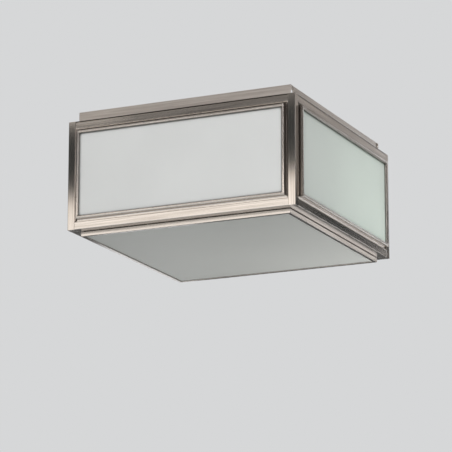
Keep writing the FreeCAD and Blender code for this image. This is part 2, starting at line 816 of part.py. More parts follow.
def earth_screw():
    """Screw down through the ring terminal and the plate, with its nut below."""
    ring_top = size.earth_ring_wall
    hole = size.earth_r + size.screw_clear
    nut_top = -size.plate_wall
    nut_below = nut_top - size.earth_nut_h
    tip = nut_below - size.earth_tip
    head_top = ring_top + size.earth_head_h
    screw = turned("earth_screw_part", [
        (ZERO, tip), (size.earth_r, tip), (size.earth_r, ring_top), (size.earth_head_r, ring_top),
        (size.earth_head_r, head_top), (ZERO, head_top),
    ])
    ring = turned("earth_ring", rectangle(hole, ZERO, size.earth_ring_r, ring_top))
    nut = new_body("earth_nut")
    radius = size.earth_nut_r
    flat = Length(f"({radius.text} * sqrt(3) / 2)", radius.value * math.sqrt(3) / 2)
    hexagon = [
        (radius, ZERO), (radius / 2, flat), (-radius / 2, flat),
        (-radius, ZERO), (-radius / 2, -flat), (radius / 2, -flat),
    ]
    pad(nut, outline(nut, "XY_Plane", hexagon, nut_below), size.earth_nut_h)
    pocket(nut, circles(nut, "XY_Plane", [(ZERO, ZERO)], hole))
    for piece in (screw, ring, nut):
        place(piece, size.earth_reach, -size.earth_offset, shelf_below)
    group("earth_screw", [screw, ring, nut])


# Lampholders and lamps, back to back in the middle

def holder_bracket(side, label):
    """Bent bracket: a foot under the top plate and a leg that carries the lampholder."""
    body = new_body(label)
    wall = size.bracket_wall
    bottom = -size.lamp_drop - size.bracket_tail
    section = [
        (size.bracket_start, -wall), (size.bracket_face - wall, -wall), (size.bracket_face - wall, bottom),
        (size.bracket_face, bottom), (size.bracket_face, ZERO), (size.bracket_start, ZERO),
    ]
    width = (holder_flange_r + size.bracket_margin) * 2
    pad(body, outline(body, "XZ_Plane", section), width, both=True)
    spread = size.bracket_screw_spacing / 2
    hole = size.screw_r + size.screw_clear
    foot_holes = circles(body, "XY_Plane", [(foot_middle, -spread), (foot_middle, spread)], hole)
    pocket(body, foot_holes, wall * 4)
    holes = [(-holder_screw_reach, -size.lamp_drop), (holder_screw_reach, -size.lamp_drop)]
    pocket(body, circles(body, "YZ_Plane", holes, hole))
    return node(place(body, z=plate_below, side=side))


def lampholder(side, label):
    body = new_body(label)
    edge = size.holder_break
    section = [
        (ZERO, ZERO), (holder_flange_r, ZERO), (holder_flange_r, size.holder_flange - edge),
        (holder_flange_r - edge, size.holder_flange), (holder_r, size.holder_flange),
        (holder_r, size.holder_length - edge), (holder_r - edge, size.holder_length),
        (size.holder_bore_r, size.holder_length), (size.holder_bore_r, size.holder_floor),
        (ZERO, size.holder_floor),
    ]
    revolve(body, outline(body, "XZ_Plane", section))
    screw_places = [(ZERO, -holder_screw_reach), (ZERO, holder_screw_reach)]
    pocket(body, circles(body, "XY_Plane", screw_places, size.screw_r + size.screw_clear))
    return node(on_lamp_axis(body, size.bracket_face, side))


def screw_shell():
    outer = size.holder_bore_r - size.shell_clear
    inner = outer - size.shell_wall
    end = size.holder_length - size.shell_recess
    return turned("screw_shell", rectangle(inner, size.holder_floor, outer, end))


def centre_contact():
    base = size.holder_floor
    edge = size.edge_break
    top = base + size.contact_height
    radius = size.contact_r
    return turned("centre_contact", [
        (ZERO, base), (radius, base), (radius, top - edge), (radius - edge, top), (ZERO, top),
    ])


def lamp_cap(label):
    """Thin cap of the lamp, without its thread: contact, cone and sleeve."""
    tip_top = size.cap_tip
    cone_top = tip_top + size.cap_cone
    wall = size.cap_wall
    return turned(label, [
        (ZERO, ZERO), (size.cap_tip_r, ZERO), (size.cap_tip_r, tip_top), (size.cap_cone_r, tip_top),
        (cap_r, cone_top), (cap_r, cap_length), (cap_r - wall, cap_length), (cap_r - wall, cone_top),
        (size.cap_cone_r - wall, tip_top + wall), (ZERO, tip_top + wall),
    ])


def lamp_bulb(label):
    """Hollow bulb turned from a straight neck, a hollow curve and a round end.
    The hollow curve's radius is the one that touches both the neck and the round end."""
    body = new_body(label)
    sketch = new_sketch(body, "XZ_Plane")
    wall = size.bulb_wall
    inner_r = cap_r - wall
    middle = bulb_length - bulb_r
    rise = middle - size.bulb_neck
    sweep_r = (cap_r * cap_r + rise * rise - bulb_r * bulb_r) / (bulb_r - cap_r) / 2
    centre = Vector(0, middle.value, 0)
    sweep_centre = Vector(cap_r.value + sweep_r.value, size.bulb_neck.value, 0)
    meeting = math.atan2(-rise.value, sweep_centre.x)

    def arc(about, radius, low, high):
        circle = Part.Circle(about, Vector(0, 0, 1), radius.value)
        return sketch.addGeometry(Part.ArcOfCircle(circle, low, high))

    def line(start, end):
        return sketch.addGeometry(Part.LineSegment(point(start), point(end)))

    base = line((inner_r, ZERO), (cap_r, ZERO))
    neck_out = line((cap_r, ZERO), (cap_r, size.bulb_neck))
    sweep_out = arc(sweep_centre, sweep_r, meeting + math.pi, math.pi)
    round_out = arc(centre, bulb_r, meeting, math.pi / 2)
    end = line((ZERO, bulb_length), (ZERO, bulb_length - wall))
    round_in = arc(centre, bulb_r - wall, meeting, math.pi / 2)
    sweep_in = arc(sweep_centre, sweep_r + wall, meeting + math.pi, math.pi)
    neck_in = line((inner_r, size.bulb_neck), (inner_r, ZERO))
    for kind, first, first_end, second, second_end in (
        ("Coincident", base, 2, neck_out, 1), ("Tangent", neck_out, 2, sweep_out, 2),
        ("Tangent", sweep_out, 1, round_out, 1), ("Coincident", round_out, 2, end, 1),
        ("Coincident", end, 2, round_in, 2), ("Tangent", round_in, 1, sweep_in, 1),
        ("Tangent", sweep_in, 2, neck_in, 1), ("Coincident", neck_in, 2, base, 1),
    ):
        sketch.addConstraint(Sketcher.Constraint(kind, first, first_end, second, second_end))
    sketch.addConstraint(Sketcher.Constraint("Vertical", neck_out))
    sketch.addConstraint(Sketcher.Constraint("Vertical", neck_in))
    tie(sketch, base, 1, (inner_r, ZERO))
    tie(sketch, base, 2, (cap_r, ZERO))
    tie(sketch, round_out, 3, (ZERO, middle))
    tie(sketch, round_in, 3, (ZERO, middle))
    tie_radius(sketch, sweep_out, sweep_r)
    tie_radius(sketch, round_out, bulb_r)
    tie_radius(sketch, round_in, bulb_r - wall)
    tie_radius(sketch, sweep_in, sweep_r + wall)
    on_axis = -2
    sketch.addConstraint(Sketcher.Constraint("PointOnObject", end, 1, on_axis))
    sketch.addConstraint(Sketcher.Constraint("PointOnObject", end, 2, on_axis))
    revolve(body, sketch)
    return body


def on_lamp_axis(thing, start, side):
    """Lays a turned piece along a lamp's axis."""
    return place(thing, start, z=lamp_level, turn=TURNED_LEFT, side=side)


def lamp_screws():
    """Screws through the brackets' feet and through the lampholders' flanges."""
    spread = size.bracket_screw_spacing / 2
    below_foot = plate_below - size.bracket_wall
    behind = size.bracket_face - size.bracket_wall
    foot_screws = []
    holder_screws = []
    for side in (FRONT, BACK):
        for hand in (-1, 1):
            foot_screws.append(place(small_screw(), foot_middle, spread * hand, below_foot, side=side))
            across = holder_screw_reach * hand
            holder_screws.append(place(small_screw(), behind, across, lamp_level, TURNED_LEFT, side))
    group("bracket_screws", foot_screws)
    group("holder_screws", holder_screws)


def lamps():
    shells = []
    contacts = []
    for side, name in ((FRONT, "right"), (BACK, "left")):
        holder_bracket(side, f"holder_bracket_{name}")
        lampholder(side, f"lampholder_{name}")
        shells.append(on_lamp_axis(screw_shell(), size.bracket_face, side))
        contacts.append(on_lamp_axis(centre_contact(), size.bracket_face, side))
        node(on_lamp_axis(lamp_cap(f"lamp_cap_{name}"), lamp_start, side))
        node(on_lamp_axis(lamp_bulb(f"lamp_bulb_{name}"), bulb_start, side))
    group("screw_shells", shells)
    group("centre_contacts", contacts)
    lamp_screws()


# Door: a mitred angle frame that carries the bottom pane and hangs on two hinges at the back

def door_bar():
    width = size.door_bar_width
    wall = size.door_wall
    edge = size.edge_break
    section = [
        (edge, ZERO), (width - edge, ZERO), (width, edge), (width, wall), (wall, wall),
        (wall, door_height), (edge, door_height), (ZERO, door_height - edge), (ZERO, edge),
    ]
    bar = extruded("door_bar", "YZ_Plane", section, door_side)
    cut_mitres(bar, "XY_Plane", door_side, ZERO, width)
    return bar


def door():
    line = size.door_inset - half
    bars = [place(door_bar(), ZERO, line, door_bottom, side=side) for side in range(len(SIDES))]
    group("door_frame", bars)
    edge = half - size.door_inset - size.door_wall - size.door_pane_clear
    pane = box("door_pane", edge * 2, edge * 2, size.door_pane_thick)
    node(place(pane, -edge, -edge, door_bottom + size.door_wall))
    tabs = []
    inner = line + size.door_wall
    for side in range(len(SIDES)):
        for hand in (-1, 1):
            tab = box("door_tab", size.tab_width, size.tab_foot, size.tab_wall)
            x = tab_reach * hand - size.tab_width / 2
            tabs.append(place(tab, x, inner, door_pane_above, side=side))
    group("door_pane_tabs", tabs)


def ring(body, radius, bore, length):
    """Tube along X."""
    pad(body, circles(body, "YZ_Plane", [(ZERO, ZERO)], radius), length, both=True)
    return circles(body, "YZ_Plane", [(ZERO, ZERO)], bore)


def hinge_case_leaf():
    """Leaf under the back rail with the two outer knuckles and a lip that stops the open door.
    Its origin is on the hinge line."""
    body = new_body("hinge_case_leaf")
    radius = size.knuckle_r
    bore = ring(body, radius, size.pin_r + size.pin_clear, size.hinge_length)
    top = radius + size.hinge_clear
    under = top - size.hinge_wall
    lip = size.hinge_stop
    bottom = top - size.hinge_lip
    plate = [
        (-radius, under), (lip, under), (lip, bottom), (lip + size.hinge_wall, bottom),
        (lip + size.hinge_wall, top), (-radius, top),
    ]
    pad(body, outline(body, "YZ_Plane", plate), size.hinge_length, both=True)
    pocket(body, bore)
    reach = size.hinge_middle / 2 + size.hinge_end_gap
    over = size.overrun
    notch = rectangle(-reach, -radius - over, reach, radius + size.hinge_clear)
    pocket(body, outline(body, "XY_Plane", notch))
    return body


def hinge_door_leaf():
    """Leaf on the door's back bar with the middle knuckle."""
    body = new_body("hinge_door_leaf")
    radius = size.knuckle_r
    bore = ring(body, radius, size.pin_r + size.pin_clear, size.hinge_middle)
    face = -radius - size.hinge_clear
    top = radius + size.hinge_clear - size.door_gap - size.leaf_margin
    bottom = radius + size.hinge_clear - size.door_drop + size.leaf_margin
    plate = rectangle(face, bottom, face + size.hinge_wall, top)
    pad(body, outline(body, "YZ_Plane", plate), size.hinge_middle, both=True)
    pocket(body, bore)
    return body


def hinge_pin():
    """Pin along its own Z with a head at each end."""
    reach = size.hinge_length / 2
    head = reach + size.pin_head
    radius = size.pin_r
    wide = size.pin_head_r
    return turned("hinge_pin", [
        (ZERO, -head), (wide, -head), (wide, -reach), (radius, -reach), (radius, reach),
        (wide, reach), (wide, head), (ZERO, head),
    ])


def hinges():
    case_leaves = []
    door_leaves = []
    pins = []
    for hand in (-1, 1):
        x = (half - size.hinge_end) * hand
        case_leaves.append(place(hinge_case_leaf(), x, hinge_line, hinge_level))
        door_leaves.append(place(hinge_door_leaf(), x, hinge_line, hinge_level))
        pins.append(place(hinge_pin(), x, hinge_line, hinge_level, TURNED_LEFT))
    group("hinge_case_leaves", case_leaves)
    group("hinge_door_leaves", door_leaves)
    group("hinge_pins", pins)


# Catches: magnets held on the front bottom rail draw steel plates on the door

def catch_bracket():
    wall = size.catch_wall
    foot = pane_back + size.catch_clear - size.shelf
    rise = size.catch_rise
    section = [(foot, ZERO), (wall, ZERO), (wall, rise), (ZERO, rise), (ZERO, wall), (foot, wall)]
    return extruded("catch_bracket", "YZ_Plane", section, size.catch_width)


def catches():
    brackets = []
    magnets = []
    strikes = []
    edge = size.shelf - half
    strike_top = door_pane_above + size.catch_wall
    strike_start = size.door_inset + size.door_wall - half
    magnet_end = edge + size.catch_wall + size.magnet_depth
    for hand in (-1, 1):
        x = (half - size.catch_end) * hand
        brackets.append(place(catch_bracket(), x, edge, floor_above))
        magnet = box("magnet", size.magnet_width, size.magnet_depth, size.magnet_height)
        magnet_x = x - size.magnet_width / 2
        magnets.append(place(magnet, magnet_x, edge + size.catch_wall, strike_top + size.magnet_gap))
        strike = box("strike", size.catch_width, magnet_end - strike_start, size.catch_wall)
        strikes.append(place(strike, x - size.catch_width / 2, strike_start, door_pane_above))
    group("catch_brackets", brackets)
    group("catch_magnets", magnets)
    group("strike_plates", strikes)


# Build

case_frame()
collar()
glazing_frames()
side_panes()
side_pane_tabs()
top_plate()
plate_screws()
ceiling_fixing()
terminal_block()
grommets()
leads()
earth_screw()
lamps()
door()
hinges()
catches()
document.recompute()

# Check everything before anything is written.

for thing in document.Objects:
    if "Invalid" in thing.State or "Error" in thing.State:
        raise RuntimeError(f"{thing.Label} failed: {thing.State}")
labels = [thing.Label for thing in nodes]
if len(set(labels)) != len(labels):
    raise RuntimeError("two nodes share a name")
for thing in nodes:
    if thing.Shape.isNull() or not thing.Shape.isValid() or not thing.Shape.Solids:
        raise RuntimeError(f"{thing.Label} has no sound shape")

os.makedirs("parts", exist_ok=True)
for thing in nodes:
    thing.Shape.exportStep(f"parts/{thing.Label}.step")
print(f"{len(nodes)} nodes, {sum(len(thing.Shape.Solids) for thing in nodes)} solids")
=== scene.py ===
# %% [markdown]
# # A square ceiling light in nickel and etched glass
#
# The light is a box of angle bars with a pane of etched glass in each side and in a door
# underneath. Its metal and glass forms come from the CAD model. This lesson gives each of them a
# finish that is worked out from how the real surface was made, models the small fasteners anew,
# and lights the result so that it can be set beside a photograph.

import json
import math

import bpy
from mathutils import Matrix, Vector


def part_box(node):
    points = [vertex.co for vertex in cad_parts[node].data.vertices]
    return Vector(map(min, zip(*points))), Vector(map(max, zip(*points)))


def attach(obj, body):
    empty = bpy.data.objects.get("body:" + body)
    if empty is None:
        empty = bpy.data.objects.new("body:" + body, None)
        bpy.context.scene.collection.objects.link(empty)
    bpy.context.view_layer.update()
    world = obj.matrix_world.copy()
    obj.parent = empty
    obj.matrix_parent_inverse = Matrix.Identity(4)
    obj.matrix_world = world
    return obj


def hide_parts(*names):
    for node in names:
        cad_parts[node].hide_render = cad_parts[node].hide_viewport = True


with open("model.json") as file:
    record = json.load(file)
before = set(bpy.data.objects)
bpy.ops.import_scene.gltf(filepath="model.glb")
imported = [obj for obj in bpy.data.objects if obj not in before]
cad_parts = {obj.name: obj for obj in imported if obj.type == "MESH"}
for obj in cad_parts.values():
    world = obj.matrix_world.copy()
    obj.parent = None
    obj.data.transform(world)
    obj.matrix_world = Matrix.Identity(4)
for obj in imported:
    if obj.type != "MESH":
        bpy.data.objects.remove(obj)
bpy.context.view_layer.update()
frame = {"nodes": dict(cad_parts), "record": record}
nodes = frame["nodes"]

# %% [markdown]
# The few sizes that the finishes need are read from the frame, so a change in the CAD model
# carries over. The case is square, so one half-width serves both directions.

# %% Sizes from the frame
MM = 0.001
post_low, post_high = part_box("corner_post_front_left")
case_half = -post_low.x
case_bottom = post_low.z
case_top = post_high.z
case_middle = (case_bottom + case_top) / 2
case_half_height = (case_top - case_bottom) / 2
print(f"case half-width {case_half / MM:.1f} mm, half-height {case_half_height / MM:.1f} mm")

# %% [markdown]
# ## Colours
#
# Colours are picked as they show on a screen, which is sRGB. Shaders count light, which is
# linear. One function turns the first into the second, so no colour is typed in twice.

# %% Colour from a hex value
def linear(hex_colour):
    """Linear red, green, blue and alpha of an sRGB colour such as #C8C0B4."""
    channels = []
    for start in (1, 3, 5):
        value = int(hex_colour[start:start + 2], 16) / 255
        if value <= 0.04045:
            channels.append(value / 12.92)
        else:
            channels.append(((value + 0.055) / 1.055) ** 2.4)
    return channels + [1.0]


print("a middle grey on the screen is", round(linear("#808080")[0], 3), "in light")

# %% [markdown]
# ## Building a material
#
# A material is a small tree of nodes. Clicking them together by hand and building them in code are
# the same work: add a node, set it, link it. The helper below does that for any node. Where a
# socket is given another node, it is linked to that node's first output. A colour ramp also gets
# its stops, each a place from 0 to 1 and a colour.

# %% Node helpers
def connect(tree, node, sockets):
    """Sets sockets to values, or links them to other nodes."""
    for socket, value in sockets.items():
        if isinstance(value, bpy.types.Node):
            value = value.outputs[0]
        if isinstance(value, bpy.types.NodeSocket):
            tree.links.new(value, node.inputs[socket])
        else:
            node.inputs[socket].default_value = value


def add(tree, kind, settings, sockets, stops=()):
    """Adds a node with its settings, values and links, and the stops of a colour ramp."""
    node = tree.nodes.new("ShaderNode" + kind)
    for name, value in settings.items():
        setattr(node, name, value)
    for number, (place, colour) in enumerate(stops):
        elements = node.color_ramp.elements
        stop = elements[number] if number < 2 else elements.new(place)
        stop.position = place
        stop.color = linear(colour)
    connect(tree, node, sockets)
    return node


def new_material(name):
    """A material with its surface shader, and the place of each point in metres."""
    material = bpy.data.materials.new(name)
    material.use_nodes = True
    tree = material.node_tree
    position = add(tree, "TexCoord", {}, {}).outputs["Object"]
    return material, tree, tree.nodes["Principled BSDF"], position


# %% [markdown]
# ## Satin nickel, brushed along each bar
#
# The bars are plated with nickel and drawn past an abrasive belt lengthwise, so every scratch runs
# with the bar. That gives the eye two things: fine streaks along the bar, lighter and darker, and a
# reflection that smears across them. The streaks come from noise that is stretched along the bar to
# a length of 90 mm. On the real bars they are about 0.1 mm wide, too fine to show here, so they are
# drawn 0.3 mm wide, with broader ones of 1.6 mm.
#
# A mitred frame has bars in two directions. The grain changes at the 45 degree joint, and that
# change is what makes the joint visible. So the noise can be turned by two masks, which the next
# cell works out.

# %% Streaks along the grain
STREAK = 90 * MM
FINE_GRAIN = 0.3 * MM
COARSE_GRAIN = 1.6 * MM


def streaks(tree, position, width, detail, upright=None, turned=None):
    """Noise stretched along X, or along Z and Y where the two masks say so."""
    vector = None
    for axis, mask in (("x", None), ("y", turned), ("z", upright)):
        scale = [1 / width] * 3
        scale["xyz".index(axis)] = 1 / STREAK
        along = add(tree, "Mapping", {}, {"Vector": position, "Scale": scale})
        if mask is None:
            vector = vector or along.outputs[0]
        else:
            sockets = {"Factor": mask, 4: vector, 5: along}
            vector = add(tree, "Mix", {"data_type": "VECTOR"}, sockets).outputs[1]
    return add(tree, "TexNoise", {}, {"Vector": vector, "Scale": 1, "Detail": detail, "Roughness": 0.6})


# %% [markdown]
# A point is on the bar whose outer edge is nearest, so a comparison of two distances finds the
# joint. The distance has a second use. Between the bead and the bar beside it runs a groove, and
# the nickel there is painted dark as painted shade, which draws a line round the bead. The painted
# shade is full in the top groove, a little lighter beside the uprights, and left out along the
# bottom. Half as much painted shade also lies where the bead's lip meets the glass.

# %% Lines of a mitred frame
GROOVE_MIDDLE = 11.7 * MM
GROOVE_REACH = 1.5 * MM
BEAD_INNER = 15.7 * MM
# Shares of the painted shade beside the uprights and on the bead's lip.
UPRIGHT_PAINTED_SHADE = 0.85
LIP_PAINTED_SHADE = 0.5


def distances(tree, position):
    """How far a point lies from the middle in X and in Y, and its height."""
    parts = add(tree, "SeparateXYZ", {}, {"Vector": position}).outputs
    far_x = add(tree, "Math", {"operation": "ABSOLUTE"}, {0: parts["X"]})
    far_y = add(tree, "Math", {"operation": "ABSOLUTE"}, {0: parts["Y"]})
    return far_x, far_y, parts["Z"]


def side_frame_lines(tree, far_x, far_y, height):
    """For the frames in the sides: the mask of upright bars, and the amount of painted shade."""
    across = add(tree, "Math", {"operation": "MINIMUM"}, {0: far_x, 1: far_y})
    above = add(tree, "Math", {"operation": "SUBTRACT"}, {0: height, 1: case_middle})
    off_middle = add(tree, "Math", {"operation": "ABSOLUTE"}, {0: above})
    from_side = add(tree, "Math", {"operation": "SUBTRACT"}, {0: case_half, 1: across})
    from_end = add(tree, "Math", {"operation": "SUBTRACT"}, {0: case_half_height, 1: off_middle})
    upright = add(tree, "Math", {"operation": "LESS_THAN"}, {0: from_side, 1: from_end})
    inset = add(tree, "Math", {"operation": "MINIMUM"}, {0: from_side, 1: from_end})
    # Painted shade: the groove goes dark, fully at the top, less beside the uprights, not at the bottom,
    # and the bead's lip half as much.
    sockets = {0: inset, 1: GROOVE_MIDDLE, 2: GROOVE_REACH}
    groove = add(tree, "Math", {"operation": "COMPARE"}, sockets)
    upper = add(tree, "Math", {"operation": "GREATER_THAN"}, {0: above, 1: 0.0})
    amount = add(tree, "Mix", {}, {"Factor": upright, 2: upper, 3: UPRIGHT_PAINTED_SHADE})
    groove = add(tree, "Math", {"operation": "MULTIPLY"}, {0: groove, 1: amount})
    lip = add(tree, "Math", {"operation": "GREATER_THAN"}, {0: inset, 1: BEAD_INNER})
    painted_shade = add(tree, "Math", {"operation": "MULTIPLY_ADD"}, {0: lip, 1: LIP_PAINTED_SHADE, 2: groove})
    return upright, painted_shade


# %% [markdown]
# Nickel is a metal, so its colour is the colour of its reflection: a warm pale grey. The streaks
# change that colour a little and the roughness more, and their height bends the reflection.
#
# No drawn or folded bar has a sharp edge. A Bevel node bends the reflection near each edge as if
# the edge were round, and a thin bright or dark line runs along the bar. The radius is largest on
# the beads, because a folded strip has a round bend where a drawn bar has an edge.
#
# The outer faces of the top rails get a line of painted shade too, close under the collar.

# %% Brushed nickel
NICKEL_TONES = ((0.3, "#C0B9B2"), (0.7, "#DED8D1"))
# The dark tone of the painted shade, in the grooves and under the collar.
PAINTED_SHADE_TONE = "#4F4943"
FACE_REACH = 0.2 * MM
SCRATCH_DEPTH = 0.02 * MM
EDGE_ROUND = 0.3 * MM


def brushed_nickel(name, direction, smooth=0.15, dull=0.27, edge=EDGE_ROUND, painted_shade_from=None):
    """Satin nickel plate. Direction is x, y, z, sides or door. Painted shade lies above the given height.
    """
    material, tree, shader, position = new_material(name)
    upright = 1.0 if direction == "z" else None
    turned = 1.0 if direction == "y" else None
    painted_shade = None
    if direction in ("sides", "door"):
        far_x, far_y, height = distances(tree, position)
        turned = add(tree, "Math", {"operation": "GREATER_THAN"}, {0: far_x, 1: far_y})
    if direction == "sides":
        upright, painted_shade = side_frame_lines(tree, far_x, far_y, height)
    # Painted shade: a line on the outer face above this height, close under the collar.
    if painted_shade_from is not None:
        parts = add(tree, "SeparateXYZ", {}, {"Vector": position}).outputs
        across = parts["Y" if direction == "x" else "X"]
        far = add(tree, "Math", {"operation": "ABSOLUTE"}, {0: across})
        outer = add(tree, "Math", {"operation": "COMPARE"}, {0: far, 1: case_half, 2: FACE_REACH})
        high = add(tree, "Math", {"operation": "GREATER_THAN"}, {0: parts["Z"], 1: painted_shade_from})
        painted_shade = add(tree, "Math", {"operation": "MULTIPLY"}, {0: outer, 1: high})
    fine = streaks(tree, position, FINE_GRAIN, 2, upright, turned)
    coarse = streaks(tree, position, COARSE_GRAIN, 3, upright, turned)
    tone = add(tree, "ValToRGB", {}, {"Fac": coarse}, NICKEL_TONES)
    # Painted shade: the tone goes dark where the mask says.
    if painted_shade:
        sockets = {"Factor": painted_shade, 6: tone, 7: linear(PAINTED_SHADE_TONE)}
        tone = add(tree, "Mix", {"data_type": "RGBA"}, sockets).outputs[2]
    rough = add(tree, "MapRange", {}, {"Value": fine, 1: 0.25, 2: 0.75, 3: smooth, 4: dull})
    heights = add(tree, "Math", {"operation": "MULTIPLY_ADD"}, {0: coarse, 1: 0.6, 2: fine})
    rounded = add(tree, "Bevel", {"samples": 8}, {"Radius": edge})
    sockets = {"Strength": 0.12, "Distance": SCRATCH_DEPTH, "Height": heights, "Normal": rounded}
    relief = add(tree, "Bump", {}, sockets)
    connect(tree, shader, {"Base Color": tone, "Roughness": rough, "Normal": relief, "Metallic": 1.0})
    return material


# %% [markdown]
# ## Acid-etched glass
#
# A bath of acid eats the surface of clear float glass into tiny pits. Light that goes in comes out
# in every direction, so the pane looks like a pale solid, and only a soft sheen tells that it is
# glass. Iron in the glass gives it a faint green. The pits are a few hundredths of a millimetre, too
# fine to show, so they are drawn as a slight sparkle 0.6 mm wide, with a cloudiness of some
# centimetres from the uneven bath.
#
# Where the pane runs in under the bead, the bead keeps the light off. An Ambient Occlusion node tells
# how open each point is within 4 mm, and the glass is painted grey there, as painted shade where
# the pane is closed in.

# %% Etched glass
ETCH_CLOUD = 90 * MM
PIT_SIZE = 0.6 * MM
PIT_DEPTH = 0.05 * MM
EDGE_SHADE = 4 * MM
# The grey of the painted shade along the pane's edges.
PAINTED_EDGE_SHADE_TONE = "#5E625E"


def etched_glass():
    """Float glass with one matt face, and painted shade along its edges."""
    material, tree, shader, position = new_material("acid_etched_float_glass")
    cloud = add(tree, "TexNoise", {}, {"Vector": position, "Scale": 1 / ETCH_CLOUD, "Detail": 3})
    pits = add(tree, "TexNoise", {}, {"Vector": position, "Scale": 1 / PIT_SIZE, "Detail": 1})
    tone = add(tree, "ValToRGB", {}, {"Fac": cloud}, ((0.3, "#DFE2DF"), (0.7, "#E3E6E3")))
    # Painted shade: the tone goes grey where the pane is closed in.
    corner = add(tree, "AmbientOcclusion", {"samples": 8}, {"Distance": EDGE_SHADE}).outputs["AO"]
    open_part = add(tree, "MapRange", {}, {"Value": corner, 1: 0.45, 2: 0.9, 3: 0.0, 4: 1.0})
    sockets = {"Factor": open_part, 6: linear(PAINTED_EDGE_SHADE_TONE), 7: tone}
    tone = add(tree, "Mix", {"data_type": "RGBA"}, sockets).outputs[2]
    rough = add(tree, "MapRange", {}, {"Value": cloud, 1: 0.3, 2: 0.7, 3: 0.42, 4: 0.5})
    relief = add(tree, "Bump", {}, {"Strength": 0.06, "Distance": PIT_DEPTH, "Height": pits})
    connect(tree, shader, {
        "Base Color": tone, "Roughness": rough, "Normal": relief,
        "Transmission Weight": 0.3, "IOR": 1.52, "Specular IOR Level": 0.05,
    })
    return material


# %% [markdown]
# ## The finishes inside
#
# They show when the door hangs open. The top plate is sheet steel with white baked enamel, which
# reflects the light down. Enamel flows before it sets and leaves a fine orange peel, about 3 mm
# from dimple to dimple, and dust dulls it in large clouds.

# %% White enamel
PEEL_SIZE = 3 * MM
PEEL_DEPTH = 0.05 * MM
DUST_CLOUD = 90 * MM


def white_enamel():
    """White stove enamel on sheet steel."""
    material, tree, shader, position = new_material("white_baked_enamel")
    peel = add(tree, "TexNoise", {}, {"Vector": position, "Scale": 1 / PEEL_SIZE, "Detail": 1})
    dust = add(tree, "TexNoise", {}, {"Vector": position, "Scale": 1 / DUST_CLOUD, "Detail": 4})
    tone = add(tree, "ValToRGB", {}, {"Fac": dust}, ((0.2, "#E6E4DC"), (0.8, "#F3F2ED")))
    relief = add(tree, "Bump", {}, {"Strength": 0.25, "Distance": PEEL_DEPTH, "Height": peel})
    connect(tree, shader, {
        "Base Color": tone, "Roughness": 0.3, "Normal": relief,
        "Coat Weight": 0.3, "Coat Roughness": 0.12,
    })
    return material


# %% [markdown]
# Zinc plate on steel is bluish, with clouds where the passivation is thicker. The same recipe,
# with other colours and roughness, serves bare brass and drawn aluminium: each is a metal whose
# surface is cloudy on a scale of some millimetres.

# %% Cloudy metals
def cloudy_metal(name, dark, light, smooth, dull, cloud_size):
    """Metal with a patchy film. Cloud size is in metres."""
    material, tree, shader, position = new_material(name)
    cloud = add(tree, "TexNoise", {}, {"Vector": position, "Scale": 1 / cloud_size, "Detail": 5})
    tone = add(tree, "ValToRGB", {}, {"Fac": cloud}, ((0.35, dark), (0.65, light)))
    rough = add(tree, "MapRange", {}, {"Value": cloud, 1: 0.3, 2: 0.7, 3: smooth, 4: dull})
    connect(tree, shader, {"Base Color": tone, "Roughness": rough, "Metallic": 1.0})
    return material


# %% [markdown]
# The other small parts aren't metals. Each has a body colour, a speckle of the size that its
# making leaves, and a gloss: porcelain under a thick glaze, moulded plastic with a fine mould grain,
# rubber with a bloom, silicone sleeve, the white coating inside a lamp's glass, and black ferrite.

# %% Moulded, glazed and coated parts
def plain_body(name, dark, light, speckle, bump, roughness, coat):
    """Solid-coloured material with a speckle in metres and a bump height in metres."""
    material, tree, shader, position = new_material(name)
    grain = add(tree, "TexNoise", {}, {"Vector": position, "Scale": 1 / speckle, "Detail": 3})
    tone = add(tree, "ValToRGB", {}, {"Fac": grain}, ((0.3, dark), (0.7, light)))
    relief = add(tree, "Bump", {}, {"Strength": 0.3, "Distance": bump, "Height": grain})
    connect(tree, shader, {
        "Base Color": tone, "Roughness": roughness, "Normal": relief,
        "Coat Weight": coat, "Coat Roughness": 0.08,
    })
    return material


# %% [markdown]
# Every material is made once, and each CAD node is given the one that its piece has. The bars need
# to know their direction, which their names tell: front and back bars run along X, left and right
# bars along Y, and posts along Z. The posts are polished a little finer than the rails, and the
# collar, which nobody sees from near, is left much duller.

# %% Nickel for each kind of bar
RAIL_EDGE = 0.8 * MM
BEAD_EDGE = 2.0 * MM
UNDER_COLLAR = case_top - 1.6 * MM
nickel = {
    "x": brushed_nickel("satin_nickel_brushed_along_x", "x", edge=RAIL_EDGE),
    "y": brushed_nickel("satin_nickel_brushed_along_y", "y", edge=RAIL_EDGE),
    "z": brushed_nickel("satin_nickel_brushed_along_z", "z", 0.1, 0.19),
    "sides": brushed_nickel("satin_nickel_mitred_sides", "sides", edge=BEAD_EDGE),
    "door": brushed_nickel("satin_nickel_mitred_door", "door"),
    # The top rails carry the painted shade line under the collar.
    "top x": brushed_nickel("satin_nickel_top_rail_along_x", "x", painted_shade_from=UNDER_COLLAR),
    "top y": brushed_nickel("satin_nickel_top_rail_along_y", "y", painted_shade_from=UNDER_COLLAR),
    "collar x": brushed_nickel("satin_nickel_collar_along_x", "x", 0.3, 0.42),
    "collar y": brushed_nickel("satin_nickel_collar_along_y", "y", 0.3, 0.42),
}


def nickel_of(name):
    """The nickel whose grain runs the way this bar does."""
    if name.startswith("glazing_frame"):
        return nickel["sides"]
    if name == "door_frame":
        return nickel["door"]
    if name.startswith("corner_post"):
        return nickel["z"]
    direction = "y" if name.endswith(("_left", "_right")) else "x"
    if name.startswith("collar_bar"):
        return nickel["collar " + direction]
    if name.startswith("top_rail"):
        return nickel["top " + direction]
    return nickel[direction]


print(len(nickel), "kinds of nickel")

